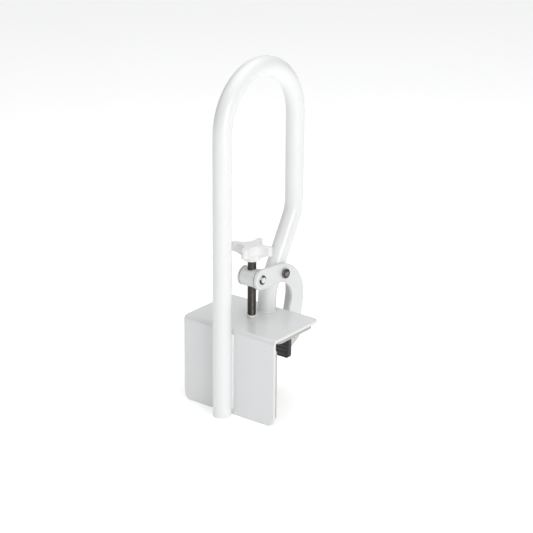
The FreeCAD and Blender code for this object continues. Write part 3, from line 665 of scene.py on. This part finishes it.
def foam_sheet(name, node, across, thick, free):
    """A bonded foam sheet: flat where it is glued, soft bulged rim, slightly uneven face.

    across holds the sheet's two in-plane axes, thick its thickness axis, and free is the
    sign along that axis of the face that touches the tub.
    """
    low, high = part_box(node)
    middle = (low + high) / 2
    a, b = across
    thickness = high[thick] - low[thick]
    outline = rounded_outline((high[a] - low[a]) / 2, (high[b] - low[b]) / 2, LINER_CORNER)
    glued = low[thick] if free > 0 else high[thick]
    bm = bmesh.new()
    rows = []

    def corner(flat, depth):
        place = Vector((0.0, 0.0, 0.0))
        place[a] = middle[a] + flat.x
        place[b] = middle[b] + flat.y
        ripple = noise.noise(place * FOAM_WAVE_SCALE) * FOAM_WAVE
        ripple += noise.noise(place * FOAM_GRAIN_SCALE) * FOAM_GRAIN
        place[thick] = glued + free * (depth * thickness + min(depth, 0.9) * ripple)
        return bm.verts.new(place)

    for inset, depth in FOAM_RINGS:
        row = []
        for point, out in outline:
            wave = 1.0 + 0.5 * noise.noise(Vector((point.x, point.y, 0.0)) * FOAM_RIM_SCALE)
            shift = inset * MM * (wave if inset < 0 else 1.0)
            row.append(corner(point - shift * out, depth))
        rows.append(row)
    for share in FOAM_FACE_SHARES:
        rows.append([corner((point - FOAM_FACE_INSET * out) * share, 1.0) for point, out in outline])
    grid_faces(bm, rows, close_columns=True)
    bm.faces.new(rows[0])
    hub = corner(Vector((0.0, 0.0)), 1.0)
    last = rows[-1]
    for i, vertex in enumerate(last):
        bm.faces.new((vertex, last[(i + 1) % len(last)], hub))
    bmesh.ops.recalc_face_normals(bm, faces=bm.faces)
    sheet = new_piece(name, bm, LINER_RUBBER, "root", "liner_rubber", node)


foam_sheet("rim_foam", "rim_liner", (0, 1), 2, -1)
foam_sheet("outer_wall_foam", "outer_wall_liner", (0, 2), 1, 1)


# ---------------------------------------------------------------- jaw pad
RIB_PITCH = 6.0 * MM
RIB_DEPTH = 1.3 * MM
PAD_ROUND = 1.5 * MM
PAD_CORNER = 5.0 * MM
PAD_ROW = 0.5 * MM
PAD_COLUMNS = 36
PAD_SWELL = 0.25 * MM
RIB_GROOVE_SHARE = 0.17
PAD_CRISP_DEG = 40.0


def rib_cut(z):
    """How deep the pad's face is cut at a height from its middle: narrow grooves, flat ribs."""
    phase = (z / RIB_PITCH + 0.5) % 1.0 - 0.5
    return RIB_DEPTH * max(0.0, 1.0 - abs(phase) / RIB_GROOVE_SHARE) ** 0.5


def edge_drop(inset):
    """Depth of the rounded rim at a distance inside the outline."""
    if inset >= PAD_ROUND:
        return 0.0
    share = 1.0 - max(inset, 0.0) / PAD_ROUND
    return PAD_ROUND * (1.0 - math.sqrt(1.0 - share * share))


def ribbed_pad():
    """The moulded jaw rubber: level grip ribs across its face, rounded rim and corners."""
    low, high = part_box("pad_rubber")
    middle = (low + high) / 2
    half_x, half_z = (high.x - low.x) / 2, (high.z - low.z) / 2
    count = int(round(2 * half_z / PAD_ROW))
    bm = bmesh.new()
    face, back = [], []
    for i in range(count + 1):
        z = -half_z + 2 * half_z * i / count
        over = max(abs(z) - (half_z - PAD_CORNER), 0.0)
        width = half_x - PAD_CORNER + math.sqrt(max(PAD_CORNER ** 2 - over ** 2, 0.0))
        face_row, back_row = [], []
        for j in range(PAD_COLUMNS + 1):
            t = math.sin(math.pi / 2 * (2 * j / PAD_COLUMNS - 1))
            x = width * t
            inset = min(width - abs(x), half_z - abs(z))
            swell = PAD_SWELL * (1.0 - t * t) * (1.0 - (z / half_z) ** 2)
            y = low.y + PAD_SWELL - swell + edge_drop(inset) + rib_cut(z)
            place = Vector((middle.x + x, y, middle.z + z))
            face_row.append(bm.verts.new(place))
            back_row.append(bm.verts.new((place.x, high.y, place.z)))
        face.append(face_row)
        back.append(back_row)
    grid_faces(bm, face)
    grid_faces(bm, back)
    for end in (0, count):
        grid_faces(bm, [face[end], back[end]])
    for column in (0, PAD_COLUMNS):
        grid_faces(bm, [[row[column] for row in face], [row[column] for row in back]])
    bmesh.ops.recalc_face_normals(bm, faces=bm.faces)
    crisp(bm, PAD_CRISP_DEG)
    pad = new_piece("jaw_pad_rubber", bm, PAD_RUBBER, "jaw_pad", "pad_rubber", "pad_rubber")


ribbed_pad()


# ---------------------------------------------------------------- stage, light, camera
FLOOR_HALF = 9.0
FLOOR_GAP = 0.2 * MM
# the floor's glow near the rail and far from it, and the distances between which it grows
FLOOR_GLOW = 0.38
FLOOR_GLOW_FAR = 0.62
GLOW_FROM = 0.5
GLOW_TO = 4.5

# each soft box: its place, its width and height, and its power in watts
LIGHT_TARGET = (0.0, 0.06, 0.12)
KEY_BOX = ((1.72, -0.86, 0.64), (0.9, 1.1), 13.7)
LEFT_BOX = ((-1.15, -0.70, 1.55), (0.6, 0.8), 2.2)
TOP_BOX = ((0.15, 0.20, 2.05), (2.4, 2.4), 30.0)

# each glow on the walls: its direction, the cosine at which it starts, and its strength
RIGHT_GLOW = ((0.85, -0.5, 0.12), 0.25, 0.14)
BACK_GLOW = ((-0.58, 0.80, 0.40), 0.78, 0.62)
OVERHEAD_GLOW = ((0.0, 0.0, 1.0), 0.3, 0.22)
WALL_BASE = 0.10


def stage_floor():
    """A plain pale floor just under the lowest point; its glow grows with distance."""
    bm = bmesh.new()
    half = FLOOR_HALF
    z = cad_low.z - FLOOR_GAP
    corners = [(-half, -half, z), (half, -half, z), (half, half, z), (-half, half, z)]
    bm.faces.new([bm.verts.new(c) for c in corners])
    mesh = bpy.data.meshes.new("floor")
    bm.to_mesh(mesh)
    bm.free()
    floor = bpy.data.objects.new("floor", mesh)
    bpy.context.scene.collection.objects.link(floor)
    n = Nodes("pale_floor")
    tone = n.blend(n.span(n.noise(2.0, 3.0), 0.3, 0.7), (0.93, 0.93, 0.93), (0.915, 0.915, 0.915))
    n.set(Base_Color=tone, Roughness=0.9, Specular_IOR_Level=0.1)
    away = n.add("ShaderNodeVectorMath", operation="LENGTH")
    n.link(n.coords, away.inputs[0])
    glow = n.span(away.outputs["Value"], GLOW_FROM, GLOW_TO, FLOOR_GLOW, FLOOR_GLOW_FAR)
    n.set(Emission_Color=(1.0, 1.0, 1.0), Emission_Strength=glow)
    floor.data.materials.append(n.material)


def soft_light(name, place, size, power):
    """A rectangular area light aimed at the middle of the rail."""
    data = bpy.data.lights.new(name, "AREA")
    data.shape = "RECTANGLE"
    data.size, data.size_y = size
    data.energy = power
    lamp = bpy.data.objects.new(name, data)
    bpy.context.scene.collection.objects.link(lamp)
    lamp.location = place
    aim = Vector(LIGHT_TARGET) - Vector(place)
    lamp.rotation_mode = "QUATERNION"
    lamp.rotation_quaternion = aim.to_track_quat("-Z", "Y")


def surround():
    """Dim studio walls that glow overhead, at the right front and in a patch at the back left."""
    world = bpy.data.worlds.new("surround")
    world.use_nodes = True
    tree = world.node_tree
    direction = tree.nodes.new("ShaderNodeTexCoord").outputs["Generated"]

    def glow(aim, start, amount):
        dot = tree.nodes.new("ShaderNodeVectorMath")
        dot.operation = "DOT_PRODUCT"
        dot.inputs[1].default_value = Vector(aim).normalized()
        tree.links.new(direction, dot.inputs[0])
        ramp = tree.nodes.new("ShaderNodeMapRange")
        ramp.interpolation_type = "SMOOTHSTEP"
        ramp.inputs["From Min"].default_value = start
        ramp.inputs["To Max"].default_value = amount
        tree.links.new(dot.outputs["Value"], ramp.inputs["Value"])
        return ramp.outputs["Result"]

    def total(a, b):
        node = tree.nodes.new("ShaderNodeMath")
        node.operation = "ADD"
        tree.links.new(a, node.inputs[0])
        if isinstance(b, float):
            node.inputs[1].default_value = b
        else:
            tree.links.new(b, node.inputs[1])
        return node.outputs["Value"]

    walls = total(glow(*RIGHT_GLOW), glow(*BACK_GLOW))
    walls = total(walls, glow(*OVERHEAD_GLOW))
    strength = total(walls, WALL_BASE)
    background = tree.nodes["Background"]
    background.inputs["Color"].default_value = (0.985, 0.995, 1.0, 1.0)
    tree.links.new(strength, background.inputs["Strength"])
    bpy.context.scene.world = world


def studio():
    """Three soft boxes, at the right, at the left and overhead, inside the surround."""
    soft_light("key", *KEY_BOX)
    soft_light("left", *LEFT_BOX)
    soft_light("top", *TOP_BOX)
    surround()


CAMERA_PLACE = Vector((1.33336, -1.68217, 0.88339))
CAMERA_TURN_DEG = 37.05
CAMERA_DIP_DEG = 20.33
CAMERA_ROLL_DEG = 0.50
CAMERA_LENS_MM = 117.01
SENSOR_MM = 36.0


def camera():
    """The photograph's viewing angle: from the right front, looking 20 degrees down."""
    turn, dip = math.radians(CAMERA_TURN_DEG), math.radians(CAMERA_DIP_DEG)
    roll = math.radians(CAMERA_ROLL_DEG)
    forward = Vector((-math.sin(turn) * math.cos(dip), math.cos(turn) * math.cos(dip), -math.sin(dip)))
    side = Vector((math.cos(turn), math.sin(turn), 0.0))
    up = side.cross(forward)
    right = math.cos(roll) * side + math.sin(roll) * up
    above = math.cos(roll) * up - math.sin(roll) * side
    data = bpy.data.cameras.new("camera")
    data.sensor_width = SENSOR_MM
    data.lens = CAMERA_LENS_MM
    data.clip_start, data.clip_end = 0.05, 60.0
    cam = bpy.data.objects.new("camera", data)
    bpy.context.scene.collection.objects.link(cam)
    pose = Matrix((right, above, -forward)).transposed().to_4x4()
    pose.translation = CAMERA_PLACE
    cam.matrix_world = pose
    bpy.context.scene.camera = cam


stage_floor()
studio()
camera()
bpy.context.scene.view_settings.view_transform = "Standard"
bpy.context.scene.view_settings.look = "None"
